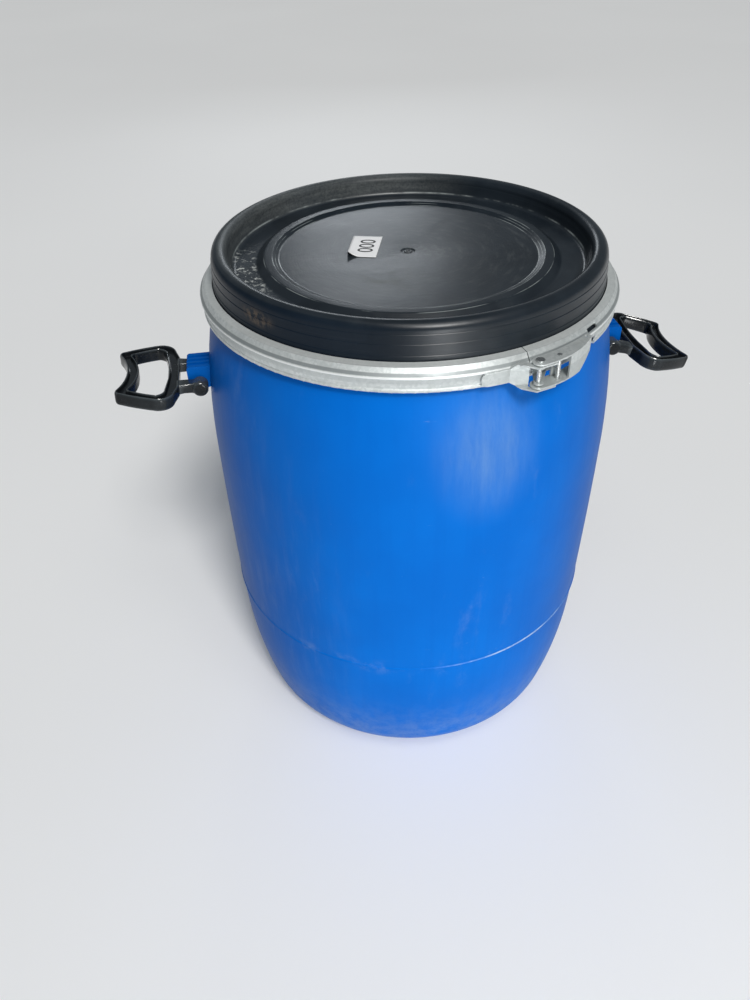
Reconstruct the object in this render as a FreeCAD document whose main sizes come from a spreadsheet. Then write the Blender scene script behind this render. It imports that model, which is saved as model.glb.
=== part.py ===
import FreeCAD, Part
import math
import os
import Sketcher

# Open-top plastic drum with a moulded lid, a lever-lock clamp ring and two swing handles.
# Millimetres. The origin is the centre of the base, +Z is up and the handles lie on +X and -X.

SIZES = {
    # drum shell
    "shell_wall": 4.0, "base_recess": 6.0, "recess_rad": 95.0, "foot_in_rad": 110.0,
    "foot_out_rad": 135.0, "base_corner": 44.5, "corner_end_rad": 177.8, "corner_end_z": 32.5,
    "low_side_bend": 500.0, "seam_z": 166.0, "seam_rad": 196.0, "seam_ridge": 0.7,
    "seam_ledge": 1.4, "mid_side_bend": 6000.0, "belly_z": 352.0, "belly_rad": 199.8,
    "upper_bend": 726.0, "upper_rad": 195.6, "upper_z": 430.0, "shoulder_bend": 308.0,
    "shoulder_rad": 185.4, "shoulder_z": 482.0, "shoulder_round": 1.8, "neck_rad": 183.6,
    "neck_low_z": 484.6, "bead_low_z": 490.0, "bead_rad": 187.6, "bead_round": 2.0,
    "rim_z": 499.0, "mouth_rad": 177.5, "mouth_round": 1.5, "mouth_low_z": 476.0,
    "inside_shoulder_z": 462.0, "inside_shoulder_rad": 186.2,
    # handle lugs, moulded on the shell
    "pivot_rad": 206.2, "pivot_z": 414.4, "lug_half_width": 14.0, "lug_end_rad": 217.5,
    "lug_top_z": 431.5, "lug_root_rad": 193.4, "lug_boss": 8.4, "lug_round": 3.0,
    "lug_groove": 4.2, "lug_groove_deep": 1.8, "lug_groove_step": 7.4,
    # swing handles
    "stub_rad": 5.0, "running_gap": 0.1, "stub_reach": 4.0, "hub_rad": 7.5, "hub_in": 15.0,
    "hub_out": 29.0, "arm_out": 26.5, "arm_half_high": 5.2, "grip_top": 5.8, "grip_bottom": 7.2,
    "lip_width": 2.0, "lip_high": 2.4, "base_bar_in": 19.6, "base_bar_out": 30.6,
    "loop_side": 53.6, "loop_end": 78.2, "left_tilt": 4.7, "right_tilt": 12.6,
    # lid
    "lid_wall": 3.0, "roll_rad": 172.6, "roll_z": 531.6, "roll_round": 7.6,
    "lid_flange_z": 505.6, "lid_foot_rad": 181.5, "low_ledge_z": 512.0, "mid_ledge_z": 521.5,
    "top_ledge_z": 529.6, "ledge": 0.4, "skirt_in_rad": 188.1, "skirt_out_rad": 190.2,
    "skirt_low_z": 491.5, "plug_rad": 176.4, "plug_wall": 2.4, "plug_low_z": 488.5,
    "lid_floor_z": 520.0, "lid_floor_rad": 159.8, "floor_fillet": 3.6, "lid_step_rad": 141.6,
    "step_fillet": 3.4, "lid_ring_z": 525.6, "lid_ring_rad": 132.8, "lid_ring_in_rad": 125.6,
    "panel_rad": 119.5, "panel_z": 523.2, "gate_rad": 5.0, "gate_in_rad": 1.6,
    "gate_deep": 0.9, "gate_edge": 0.3,
    # gasket
    "gasket_in_rad": 180.2, "gasket_out_rad": 187.6, "gasket_low_z": 499.1,
    "gasket_top_z": 502.5,
    # lot label on the lid
    "label_width": 28.0, "label_height": 50.0, "label_thick": 0.3, "label_x": -38.0,
    "label_y": 18.0, "label_turn": -16.5, "label_lift": 0.02,
    # clamp ring band, a rolled steel channel
    "band_thick": 1.2, "band_low_z": 486.0, "band_lip_rad": 185.0, "band_low_rad": 192.6,
    "band_kink_z": 490.0, "band_side_rad": 193.6, "band_bead": 0.6, "band_bead_half": 0.7,
    "band_ridge_z": 500.0, "band_slope_rad": 189.4, "band_slope_z": 507.4,
    "band_top_rad": 182.4, "band_top_z": 508.4, "band_gap": 0.8, "latch_azimuth": -71.4,
    "seal_slot_long": 15.0, "seal_slot_wide": 2.8, "seal_slot_turn": 22.9,
    "seal_slot_out": 2.0,
    # latch on the clamp ring
    "plate_thick": 1.4, "latch_seat": 194.3, "pin_rad": 2.0, "pin_gap": 0.05,
    "fulcrum_rad": 207.0, "pin_step": 19.1, "lever_low_z": 486.0, "lever_top_z": 508.0,
    "lever_end_rad": 6.5, "lever_reach": 60.1, "lever_bend": 90.0, "window_end": 27.0,
    "strap_low_z": 484.2, "strap_top_z": 505.8, "tongue_low_z": 488.0, "tongue_top_z": 500.0,
    "tongue_turn": 5.6, "strap_turn": 10.8, "hook_gap": 2.15, "hook_in": 0.9,
    "strap_root": 18.9, "strap_slant": 6.4, "strap_clear": 2.9, "ear_rad": 4.5,
    "ear_low_z": 488.2, "ear_top_z": 503.8, "bracket_turn": 14.0, "head_rad": 3.6,
    "head_high": 1.3,
}

# How far a cutter runs past what it cuts, and where cutters for the ring start and end.
SPARE = 1
RING_INSIDE, RING_OUTSIDE = 150, 230


class Size:
    """A length or an angle: its number, and the expression that binds it to the sheet."""

    def __init__(self, number, text):
        self.number = number
        self.text = text

    def __add__(self, other):
        other = size(other)
        return Size(self.number + other.number, f"({self.text} + {other.text})")

    def __radd__(self, other):
        return size(other) + self

    def __sub__(self, other):
        other = size(other)
        return Size(self.number - other.number, f"({self.text} - {other.text})")

    def __rsub__(self, other):
        return size(other) - self

    def __mul__(self, factor):
        return Size(self.number * factor, f"({self.text} * {factor})")

    def __neg__(self):
        return self * -1


def size(value):
    """value as a Size: a plain number is its own expression."""
    return value if isinstance(value, Size) else Size(float(value), f"{float(value)}")


def cell(alias):
    """The size that the sheet keeps under this alias."""
    return Size(SIZES[alias], f"sizes.{alias}")


def make_sheet(doc):
    """The spreadsheet with every driving dimension."""
    sheet = doc.addObject("Spreadsheet::Sheet", "sizes")
    for row, (alias, number) in enumerate(SIZES.items(), start=1):
        sheet.set(f"A{row}", alias.replace("_", " "))
        sheet.set(f"B{row}", str(number))
        sheet.setAlias(f"B{row}", alias)
    doc.recompute()
    return sheet


# ---------------------------------------------------------------- sketches

def bind(sketch, index, value):
    """Ties constraint number index of the sketch to the sheet."""
    sketch.setExpression(f"Constraints[{index}]", value.text)


def pin_down(sketch, geo, end, x, y):
    """Holds one end of a segment at (x, y)."""
    for axis, kind, value in ((-2, "DistanceX", x), (-1, "DistanceY", y)):
        if value.number == 0:
            sketch.addConstraint(Sketcher.Constraint("PointOnObject", geo, end, axis))
        else:
            held = Sketcher.Constraint(kind, -1, 1, geo, end, value.number)
            bind(sketch, sketch.addConstraint(held), value)


def arc_between(start, stop, bend):
    """The short arc from start to stop: its centre is on the left where bend is positive."""
    chord = stop - start
    half = chord.Length / 2
    left = FreeCAD.Vector(-chord.y, chord.x, 0).normalize()
    side = 1 if bend > 0 else -1
    centre = (start + stop) / 2 + left * side * math.sqrt(bend * bend - half * half)
    first, last = (start, stop) if bend > 0 else (stop, start)
    angles = [math.atan2(p.y - centre.y, p.x - centre.x) for p in (first, last)]
    circle = Part.Circle(centre, FreeCAD.Vector(0, 0, 1), abs(bend))
    return Part.ArcOfCircle(circle, *angles)


def draw_outline(sketch, corners):
    """A closed outline through corners, each (x, y) or (x, y, bend). bend is the radius of the
    arc that arrives at that corner: positive turns left, negative turns right."""
    corners = [tuple(size(v) for v in corner) for corner in corners]
    points = [FreeCAD.Vector(c[0].number, c[1].number, 0) for c in corners]
    ends = []
    for i, corner in enumerate(corners):
        start, stop = points[i - 1], points[i]
        if len(corner) == 3:
            geo = sketch.addGeometry(arc_between(start, stop, corner[2].number))
            radius = corner[2] if corner[2].number > 0 else -corner[2]
            index = sketch.addConstraint(Sketcher.Constraint("Radius", geo, radius.number))
            bind(sketch, index, radius)
            ends.append((geo, 1, 2) if corner[2].number > 0 else (geo, 2, 1))
        else:
            ends.append((sketch.addGeometry(Part.LineSegment(start, stop)), 1, 2))
    for i, (geo, _, last) in enumerate(ends):
        following = ends[(i + 1) % len(ends)]
        joined = Sketcher.Constraint("Coincident", geo, last, following[0], following[1])
        sketch.addConstraint(joined)
        pin_down(sketch, geo, last, corners[i][0], corners[i][1])


def draw_circle(sketch, x, y, radius):
    """A circle whose centre and radius are tied to the sheet."""
    x, y, radius = size(x), size(y), size(radius)
    centre = FreeCAD.Vector(x.number, y.number, 0)
    circle = Part.Circle(centre, FreeCAD.Vector(0, 0, 1), radius.number)
    geo = sketch.addGeometry(circle)
    index = sketch.addConstraint(Sketcher.Constraint("Radius", geo, radius.number))
    bind(sketch, index, radius)
    pin_down(sketch, geo, 3, x, y)


def body_sketch(body, name, role):
    """A sketch on one of the body's own origin planes."""
    sketch = body.newObject("Sketcher::SketchObject", name)
    plane = next(f for f in body.Origin.OriginFeatures if f.Role == role)
    sketch.AttachmentSupport = [(plane, "")]
    sketch.MapMode = "FlatFace"
    return sketch


def flat_sketch(doc, name, corners):
    """A free sketch of one closed outline in the XY plane."""
    sketch = doc.addObject("Sketcher::SketchObject", name)
    draw_outline(sketch, corners)
    return sketch


# ---------------------------------------------------------------- features

def new_body(doc, label):
    body = doc.addObject("PartDesign::Body", label)
    body.Label = label
    return body


def turned(doc, body, name, corners):
    """A full turn about Z of an outline drawn in radius and height."""
    sketch = body_sketch(body, name + "_outline", "XZ_Plane")
    draw_outline(sketch, corners)
    turn = body.newObject("PartDesign::Revolution", name)
    turn.Profile = sketch
    turn.ReferenceAxis = (sketch, ["V_Axis"])
    turn.Angle = 360.0
    doc.recompute()
    return turn


def swept_turn(doc, name, corners, start, angle):
    """Part of a turn about Z, from the angle start, of an outline in radius and height."""
    sketch = flat_sketch(doc, name + "_outline", corners)
    upright = FreeCAD.Rotation(FreeCAD.Vector(1, 0, 0), 90)
    around = FreeCAD.Rotation(FreeCAD.Vector(0, 0, 1), start.number)
    sketch.Placement = FreeCAD.Placement(FreeCAD.Vector(0, 0, 0), around * upright)
    turn = doc.addObject("Part::Revolution", name)
    turn.Source = sketch
    turn.Axis = FreeCAD.Vector(0, 0, 1)
    turn.Solid = True
    turn.Angle = angle.number
    turn.setExpression("Angle", angle.text)
    return turn


def raised(doc, name, source, low, high):
    """The outline of source, raised along Z from low to high."""
    slab = doc.addObject("Part::Extrusion", name)
    slab.Base = source
    slab.DirMode = "Custom"
    slab.Dir = FreeCAD.Vector(0, 0, 1)
    slab.Solid = True
    low, high = size(low), size(high)
    slab.LengthFwd = high.number - low.number
    slab.setExpression("LengthFwd", (high - low).text)
    slab.Placement.Base.z = low.number
    slab.setExpression("Placement.Base.z", low.text)
    return slab


def rod(doc, name, radius, length, x, y, z):
    """An upright cylinder with its foot at (x, y, z)."""
    made = doc.addObject("Part::Cylinder", name)
    made.setExpression("Radius", size(radius).text)
    made.setExpression("Height", size(length).text)
    for axis, value in zip("xyz", (x, y, z)):
        made.setExpression(f"Placement.Base.{axis}", size(value).text)
    return made


def cross_rod(doc, name, radius, start, stop):
    """A cylinder along Y through the origin's height, from start to stop."""
    start, stop = size(start), size(stop)
    made = doc.addObject("Part::Cylinder", name)
    made.setExpression("Radius", size(radius).text)
    made.setExpression("Height", (stop - start).text)
    made.Placement.Rotation = FreeCAD.Rotation(FreeCAD.Vector(1, 0, 0), -90)
    made.setExpression("Placement.Base.y", start.text)
    return made


def block(doc, name, low, high):
    """A box between two corners."""
    made = doc.addObject("Part::Box", name)
    for axis, side, a, b in zip("xyz", ("Length", "Width", "Height"), low, high):
        made.setExpression(side, (size(b) - size(a)).text)
        made.setExpression(f"Placement.Base.{axis}", size(a).text)
    return made


def side_tool(doc, name, outlines):
    """Prisms along +X, from inside the ring outwards, of outlines in Y and height."""
    sketch = doc.addObject("Sketcher::SketchObject", name + "_side")
    for outline in outlines:
        draw_outline(sketch, outline)
    y_z_plane = FreeCAD.Rotation(0.5, 0.5, 0.5, 0.5)
    sketch.Placement = FreeCAD.Placement(FreeCAD.Vector(RING_INSIDE, 0, 0), y_z_plane)
    tool = doc.addObject("Part::Extrusion", name)
    tool.Base = sketch
    tool.DirMode = "Custom"
    tool.Dir = FreeCAD.Vector(1, 0, 0)
    tool.LengthFwd = RING_OUTSIDE - RING_INSIDE
    tool.Solid = True
    return tool


def fused(doc, name, shapes):
    joined = doc.addObject("Part::MultiFuse", name)
    joined.Shapes = shapes
    joined.Refine = True
    return joined


def cut(doc, name, base, tool):
    taken = doc.addObject("Part::Cut", name)
    taken.Base = base
    taken.Tool = tool
    taken.Refine = True
    return taken


def turn_about_axis(made, azimuth):
    """Places a latch piece, drawn with its fulcrum on +X, at its azimuth on the ring."""
    made.Placement = FreeCAD.Placement(
        FreeCAD.Vector(0, 0, 0), FreeCAD.Rotation(FreeCAD.Vector(0, 0, 1), azimuth.number)
    )
    made.setExpression("Placement.Rotation.Angle", azimuth.text)


# ---------------------------------------------------------------- drum

def make_drum_body(doc):
    """The blow-moulded shell: recessed base, barrelled side, neck, solid rim bead and lugs."""
    body = new_body(doc, "drum_body")
    wall = cell("shell_wall")
    ridge, soft, bead = cell("seam_ridge"), cell("shoulder_round"), cell("bead_round")
    mouth = cell("mouth_round")
    outside = [
        (0, cell("base_recess")),
        (cell("recess_rad"), cell("base_recess")),
        (cell("foot_in_rad"), 0),
        (cell("foot_out_rad"), 0),
        (cell("corner_end_rad"), cell("corner_end_z"), cell("base_corner")),
        (cell("seam_rad") - cell("seam_ledge"), cell("seam_z") - ridge, cell("low_side_bend")),
        (cell("seam_rad") + ridge, cell("seam_z")),
        (cell("seam_rad"), cell("seam_z") + ridge * 2),
        (cell("belly_rad"), cell("belly_z"), cell("mid_side_bend")),
        (cell("upper_rad"), cell("upper_z"), cell("upper_bend")),
        (cell("shoulder_rad"), cell("shoulder_z"), cell("shoulder_bend")),
        (cell("shoulder_rad") - soft, cell("shoulder_z") + soft, soft),
        (cell("neck_rad"), cell("neck_low_z")),
        (cell("neck_rad"), cell("bead_low_z") - bead * 0.5),
        (cell("bead_rad") - bead * 0.5, cell("bead_low_z")),
        (cell("bead_rad"), cell("bead_low_z") + bead * 0.5, bead * 0.5),
        (cell("bead_rad"), cell("rim_z") - bead),
        (cell("bead_rad") - bead, cell("rim_z"), bead),
    ]
    inside = [
        (cell("mouth_rad") + mouth, cell("rim_z")),
        (cell("mouth_rad"), cell("rim_z") - mouth, mouth),
        (cell("mouth_rad"), cell("mouth_low_z")),
        (cell("inside_shoulder_rad"), cell("inside_shoulder_z")),
        (cell("upper_rad") - wall, cell("upper_z"), -cell("shoulder_bend")),
        (cell("belly_rad") - wall, cell("belly_z"), -cell("upper_bend")),
        (cell("seam_rad") - wall - ridge, cell("seam_z"), -cell("mid_side_bend")),
        (cell("corner_end_rad") - wall, cell("corner_end_z") + 1, -cell("low_side_bend")),
        (cell("foot_out_rad"), wall, -cell("base_corner") + wall),
        (cell("foot_in_rad"), wall),
        (cell("recess_rad"), cell("base_recess") + wall),
        (0, cell("base_recess") + wall),
    ]
    turned(doc, body, "shell", outside + inside)

    lug = body_sketch(body, "lug_side", "XZ_Plane")
    boss = cell("lug_boss")
    draw_outline(lug, [
        (cell("lug_root_rad") + 2, cell("pivot_z") - boss * 0.6),
        (cell("pivot_rad") - boss * 0.6, cell("pivot_z") - boss * 0.8),
        (cell("pivot_rad") + boss * 0.7, cell("pivot_z") - boss * 0.71, boss),
        (cell("lug_end_rad"), cell("pivot_z")),
        (cell("lug_end_rad"), cell("lug_top_z") - cell("lug_round")),
        (cell("lug_end_rad") - cell("lug_round"), cell("lug_top_z"), cell("lug_round")),
        (cell("lug_root_rad"), cell("lug_top_z")),
    ])
    pad = body.newObject("PartDesign::Pad", "lug")
    pad.Profile = lug
    pad.SideType = "Symmetric"
    pad.setExpression("Length", (cell("lug_half_width") * 2).text)

    grooves = body_sketch(body, "lug_groove_ends", "YZ_Plane")
    half = cell("lug_groove") * 0.5
    low = cell("lug_top_z") - cell("lug_groove_deep")
    for place in (-1, 0, 1):
        middle = cell("lug_groove_step") * place
        draw_outline(grooves, [
            (middle - half, low),
            (middle + half, low),
            (middle + half, cell("lug_top_z") + SPARE),
            (middle - half, cell("lug_top_z") + SPARE),
        ])
    channel = body.newObject("PartDesign::Pocket", "lug_grooves")
    channel.Profile = grooves
    channel.Reversed = True
    channel.setExpression("Length", (cell("lug_end_rad") + 4).text)

    bore = body_sketch(body, "lug_bore_end", "XZ_Plane")
    draw_circle(bore, cell("pivot_rad"), cell("pivot_z"), cell("stub_rad") + cell("running_gap"))
    hole = body.newObject("PartDesign::Pocket", "lug_bore")
    hole.Profile = bore
    hole.SideType = "Symmetric"
    hole.setExpression("Length", (cell("lug_half_width") * 2 + 4).text)
    doc.recompute()

    pair = body.newObject("PartDesign::PolarPattern", "lug_pair")
    pair.Originals = [pad, channel, hole]
    pair.Axis = (next(f for f in body.Origin.OriginFeatures if f.Role == "Z_Axis"), [""])
    pair.Angle = 360.0
    pair.Occurrences = 2
    body.Tip = pair
    return body


# ---------------------------------------------------------------- lid

def make_lid(doc):
    """The moulded lid: skirt and plug over the rim, tall wall, rolled top bead, sunk floor,
    raised ring and centre panel with its gate mark."""
    body = new_body(doc, "lid")
    wall = cell("lid_wall")
    flange = cell("lid_flange_z")
    foot, ledge = cell("lid_foot_rad"), cell("ledge")
    roll_rad, roll_z, roll = cell("roll_rad"), cell("roll_z"), cell("roll_round")
    floor = cell("lid_floor_z")
    ring = cell("lid_ring_z")
    panel = cell("panel_z")
    chamfer = cell("skirt_out_rad") - cell("gasket_out_rad")
    outside = [
        (cell("skirt_out_rad"), cell("skirt_low_z")),
        (cell("skirt_out_rad"), flange - chamfer * 2),
        (cell("skirt_out_rad") - chamfer * 1.4, flange),
        (foot, flange),
    ]
    for count, height in enumerate(("low_ledge_z", "mid_ledge_z", "top_ledge_z")):
        outside += [
            (foot - ledge * count, cell(height)),
            (foot - ledge * (count + 1), cell(height) + ledge * 1.5),
        ]
    outside += [
        (roll_rad, roll_z + roll, roll),
        (roll_rad - roll, roll_z, roll),
        (cell("lid_floor_rad") + cell("floor_fillet"), floor + cell("floor_fillet")),
        (cell("lid_floor_rad"), floor, -cell("floor_fillet")),
        (cell("lid_step_rad"), floor),
        (cell("lid_step_rad") - 2.2, floor + 0.8, -cell("step_fillet")),
        (cell("lid_ring_rad") + 2, ring - 0.9),
        (cell("lid_ring_rad"), ring, cell("step_fillet")),
        (cell("lid_ring_in_rad"), ring),
        (cell("panel_rad"), panel),
        (0, panel),
    ]
    hollow = roll - wall
    plug_in = cell("plug_rad") - cell("plug_wall")
    underside = [
        (0, panel - wall),
        (cell("panel_rad"), panel - wall),
        (cell("lid_ring_in_rad"), ring - wall),
        (cell("lid_ring_rad"), ring - wall),
        (cell("lid_step_rad") - wall, floor - wall),
        (cell("lid_floor_rad"), floor - wall),
        (cell("lid_floor_rad") + cell("floor_fillet") + wall, floor + wall),
        (roll_rad - hollow, roll_z),
        (roll_rad, roll_z + hollow, -hollow),
        (roll_rad + hollow, roll_z, -hollow),
        (roll_rad + hollow, flange + wall),
        (plug_in, flange),
        (plug_in, cell("plug_low_z")),
        (cell("plug_rad"), cell("plug_low_z")),
        (cell("plug_rad"), flange - wall),
        (cell("skirt_in_rad"), flange - wall),
        (cell("skirt_in_rad"), cell("skirt_low_z")),
    ]
    turned(doc, body, "cap", outside + underside)

    mark = body_sketch(body, "gate_outline", "XZ_Plane")
    draw_outline(mark, [
        (cell("gate_in_rad"), panel - cell("gate_deep")),
        (cell("gate_rad"), panel - cell("gate_edge")),
        (cell("gate_rad"), panel + SPARE),
        (cell("gate_in_rad"), panel + SPARE),
    ])
    gate = body.newObject("PartDesign::Groove", "gate_mark")
    gate.Profile = mark
    gate.ReferenceAxis = (mark, ["V_Axis"])
    gate.Angle = 360.0
    body.Tip = gate
    return body


def make_gasket(doc):
    """The flat sealing ring between the rim and the lid."""
    body = new_body(doc, "lid_gasket")
    low, high = cell("gasket_low_z"), cell("gasket_top_z")
    turned(doc, body, "seal", [
        (cell("gasket_in_rad"), low),
        (cell("gasket_out_rad"), low),
        (cell("gasket_out_rad"), high),
        (cell("gasket_in_rad"), high),
    ])
    return body


def make_label(doc):
    """The lot label stuck on the centre panel."""
    label = doc.addObject("Part::Box", "lot_label")
    label.setExpression("Length", "sizes.label_width")
    label.setExpression("Width", "sizes.label_height")
    label.setExpression("Height", "sizes.label_thick")
    turn = FreeCAD.Rotation(FreeCAD.Vector(0, 0, 1), SIZES["label_turn"])
    corner = FreeCAD.Vector(-SIZES["label_width"] / 2, -SIZES["label_height"] / 2, 0)
    height = SIZES["panel_z"] + SIZES["label_lift"]
    centre = FreeCAD.Vector(SIZES["label_x"], SIZES["label_y"], height)
    label.Placement = FreeCAD.Placement(centre + turn.multVec(corner), turn)
    return label


# ---------------------------------------------------------------- clamp ring

def make_band(doc):
    """The split steel channel that pulls the lid's flange and the rim bead together."""
    thick = cell("band_thick")
    low_rad, side, ridge_z = cell("band_low_rad"), cell("band_side_rad"), cell("band_ridge_z")
    bead, half_bead = cell("band_bead"), cell("band_bead_half")
    section = [
        (cell("band_lip_rad"), cell("band_low_z")),
        (low_rad - thick, cell("band_low_z")),
        (low_rad, cell("band_low_z") + thick, thick),
        (low_rad, cell("band_kink_z") - 1),
        (low_rad - bead, cell("band_kink_z")),
        (side, ridge_z - half_bead * 2),
        (side + bead, ridge_z - half_bead),
        (side + bead, ridge_z + half_bead),
        (side, ridge_z + half_bead * 2),
        (cell("band_slope_rad"), cell("band_slope_z")),
        (cell("band_top_rad"), cell("band_top_z")),
        (cell("band_top_rad"), cell("band_top_z") - thick),
        (cell("band_slope_rad") - bead, cell("band_slope_z") - thick),
        (side - thick, ridge_z),
        (low_rad - bead - thick, cell("band_low_z") + thick),
        (cell("band_lip_rad"), cell("band_low_z") + thick),
    ]
    body = new_body(doc, "clamp_band")
    turned(doc, body, "channel", section)
    half = cell("band_gap") * 0.5
    split = body_sketch(body, "split_plan", "XY_Plane")
    draw_outline(split, [
        (RING_INSIDE, -half), (RING_OUTSIDE, -half), (RING_OUTSIDE, half), (RING_INSIDE, half),
    ])
    gap = body.newObject("PartDesign::Pocket", "split")
    gap.Profile = split
    gap.Type = "ThroughAll"
    gap.Reversed = True

    slot = body_sketch(body, "seal_slot_plan", "XY_Plane")
    turn = math.radians(SIZES["seal_slot_turn"])
    out = FreeCAD.Vector(math.cos(turn), math.sin(turn), 0)
    along = FreeCAD.Vector(-out.y, out.x, 0)
    middle = out * (SIZES["band_slope_rad"] + SIZES["seal_slot_out"])
    corners = []
    for side, end in ((-1, -1), (1, -1), (1, 1), (-1, 1)):
        across = out * side * SIZES["seal_slot_wide"] / 2
        point = middle + across + along * end * SIZES["seal_slot_long"] / 2
        corners.append((point.x, point.y))
    draw_outline(slot, corners)
    hole = body.newObject("PartDesign::Pocket", "seal_slot")
    hole.Profile = slot
    hole.Reversed = True
    hole.setExpression("Length", (cell("band_top_z") + 2).text)
    doc.recompute()
    body.Tip = hole
    turn_about_axis(body, cell("latch_azimuth"))
    return body


def make_strap(doc):
    """The tension strap: a tongue and a plate on the left end of the band, and two hooked arms
    that reach round the fulcrum pin to the hook pin."""
    seat, thick = cell("latch_seat"), cell("plate_thick")
    low, high = cell("strap_low_z"), cell("strap_top_z")
    tongue_low, tongue_high = cell("tongue_low_z"), cell("tongue_top_z")
    tongue = swept_turn(doc, "strap_tongue", [
        (seat, tongue_low),
        (seat + thick, tongue_low),
        (seat + thick, tongue_high),
        (seat, tongue_high),
    ], -cell("strap_turn"), cell("strap_turn") - cell("tongue_turn") + 0.6)
    outwards = FreeCAD.Rotation(FreeCAD.Vector(0, 1, 0), 90)
    around = FreeCAD.Rotation(FreeCAD.Vector(0, 0, 1), -SIZES["strap_turn"])
    middle = FreeCAD.Vector(SIZES["latch_seat"], 0, (tongue_low + tongue_high).number / 2)
    end = doc.addObject("Part::Cylinder", "strap_tongue_end")
    end.setExpression("Radius", ((tongue_high - tongue_low) * 0.5).text)
    end.setExpression("Height", thick.text)
    end.Placement = FreeCAD.Placement(around.multVec(middle), around * outwards)
    root, plate_end = cell("strap_root"), cell("fulcrum_rad") - 5
    foot = flat_sketch(doc, "strap_plate_plan", [
        (seat - 0.7, -root + 2), (plate_end, -5.6), (plate_end + 1.1, -6.5),
        (seat + 0.7, -root), (seat - 0.75, -root + 0.2),
    ])
    plate = raised(doc, "strap_plate", foot, low, high)
    pin, clear = cell("fulcrum_rad"), cell("strap_clear")
    hook, step, gap = pin - cell("hook_in"), cell("pin_step"), cell("hook_gap")
    lip = pin + clear - 0.3
    arm = flat_sketch(doc, "strap_arm_plan", [
        (seat + 0.7, -root + 0.3),
        (pin + 6, -5), (pin + 6, step - 6.1), (lip, step - clear),
        (hook, step - gap), (hook - gap, step, -gap), (hook, step + gap, -gap),
        (lip, step + gap), (lip, step + 5.2),
        (hook, step + 6.3, 4.2), (pin - 7, step + 1, 7), (pin - 6.6, step - 3.6),
        (pin - 1.8, step - 8.6), (pin + clear, step - 11),
        (pin + clear, -3.6), (pin - 5, -7.4), (pin - 6.4, -7.2), (seat - 0.4, -root + 2),
    ])
    tab = flat_sketch(doc, "strap_tab_plan", [
        (pin - 6.4, step - 3.6), (pin - 5, step - 3.6), (pin - 5.4, step + 1),
        (pin - 3.2, step + 4.4, -5.6), (pin - 4.4, step + 5.2), (pin - 6.8, step + 1, 7),
    ])
    arms = [
        raised(doc, "strap_low_arm", arm, low, low + thick),
        raised(doc, "strap_top_arm", arm, high - thick, high),
        raised(doc, "strap_tab", tab, cell("lever_low_z") + thick * 1.5, high - thick * 0.5),
    ]
    whole = fused(doc, "strap_whole", [tongue, end, plate] + arms)
    slant = tongue_low - low
    left, right = -root, -root + cell("strap_slant")
    corners = side_tool(doc, "strap_corners", [
        [(left - SPARE, low - SPARE), (right, low - SPARE), (right, low), (left, low + slant),
         (left - SPARE, low + slant)],
        [(left - SPARE, high + SPARE), (left - SPARE, tongue_high), (left, tongue_high),
         (right, high), (right, high + SPARE)],
    ])
    strap = cut(doc, "tension_strap", whole, corners)
    turn_about_axis(strap, cell("latch_azimuth"))
    return strap


def make_bracket(doc):
    """The fulcrum bracket on the right end of the band, with an ear above and below."""
    seat, thick = cell("latch_seat"), cell("plate_thick")
    low, high = cell("ear_low_z"), cell("ear_top_z")
    back = swept_turn(doc, "bracket_back", [
        (seat, low), (seat + thick, low), (seat + thick, high), (seat, high),
    ], size(1), cell("bracket_turn"))
    pin, round_end = cell("fulcrum_rad"), cell("ear_rad")
    ear = flat_sketch(doc, "bracket_ear_plan", [
        (pin, round_end), (pin + round_end, 0, -round_end), (pin, -round_end, -round_end),
        (seat + 0.6, 3.6), (seat + 0.2, 16),
        (seat + 1.4, 16),
    ])
    ears = fused(doc, "bracket_ears", [
        raised(doc, "bracket_low_ear", ear, low, low + thick),
        raised(doc, "bracket_top_ear", ear, high - thick, high),
    ])
    bore = rod(doc, "bracket_bore", cell("pin_rad") + cell("pin_gap"), 40, pin, 0, low - 10)
    bracket = fused(doc, "bracket_whole", [back, ears])
    made = cut(doc, "fulcrum_bracket", bracket, bore)
    turn_about_axis(made, cell("latch_azimuth"))
    return made


def make_lever(doc):
    """The over-centre lever: two flanges with an outer web that stops short of the pins."""
    pin, end = cell("fulcrum_rad"), cell("lever_end_rad")
    low, high, thick = cell("lever_low_z"), cell("lever_top_z"), cell("plate_thick")
    reach, bend = cell("lever_reach"), cell("lever_bend")
    plan = flat_sketch(doc, "lever_plan", [
        (pin + end, 0, end),
        (pin - 12, reach - 0.95, bend),
        (pin - 13.9, reach, 2.4),
        (pin - 18.4, reach),
        (pin - end, 0, -200),
        (pin, -end, end),
    ])
    whole = raised(doc, "lever_whole", plan, low, high)
    hollow = flat_sketch(doc, "lever_hollow_plan", [
        (pin + 14, -12), (pin + 14, cell("window_end")), (pin + 1.7, cell("window_end")),
        (pin - 14.2, reach + 0.1, bend - thick), (pin - 14.6, reach + 4), (pin - 30, reach + 4),
        (pin - 30, -12),
    ])
    inside = raised(doc, "lever_hollow", hollow, low + thick, high - thick)
    tip = side_tool(doc, "lever_taper", [[
        (42, low - 1), (66, low - 1), (66, low + 10), (57, low + 9), (42, low),
    ]])
    hole = cell("pin_rad") + cell("pin_gap")
    holes = [
        rod(doc, "lever_fulcrum_hole", hole, 60, pin, 0, low - 10),
        rod(doc, "lever_hook_hole", hole, 60, pin - cell("hook_in"), cell("pin_step"), low - 10),
        rod(doc, "lever_seal_hole", 1.4, 20, pin - 14.6, reach - 4.4, high - 10),
    ]
    tools = fused(doc, "lever_tools", [inside, tip] + holes)
    made = cut(doc, "clamp_lever", whole, tools)
    turn_about_axis(made, cell("latch_azimuth"))
    return made


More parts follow.
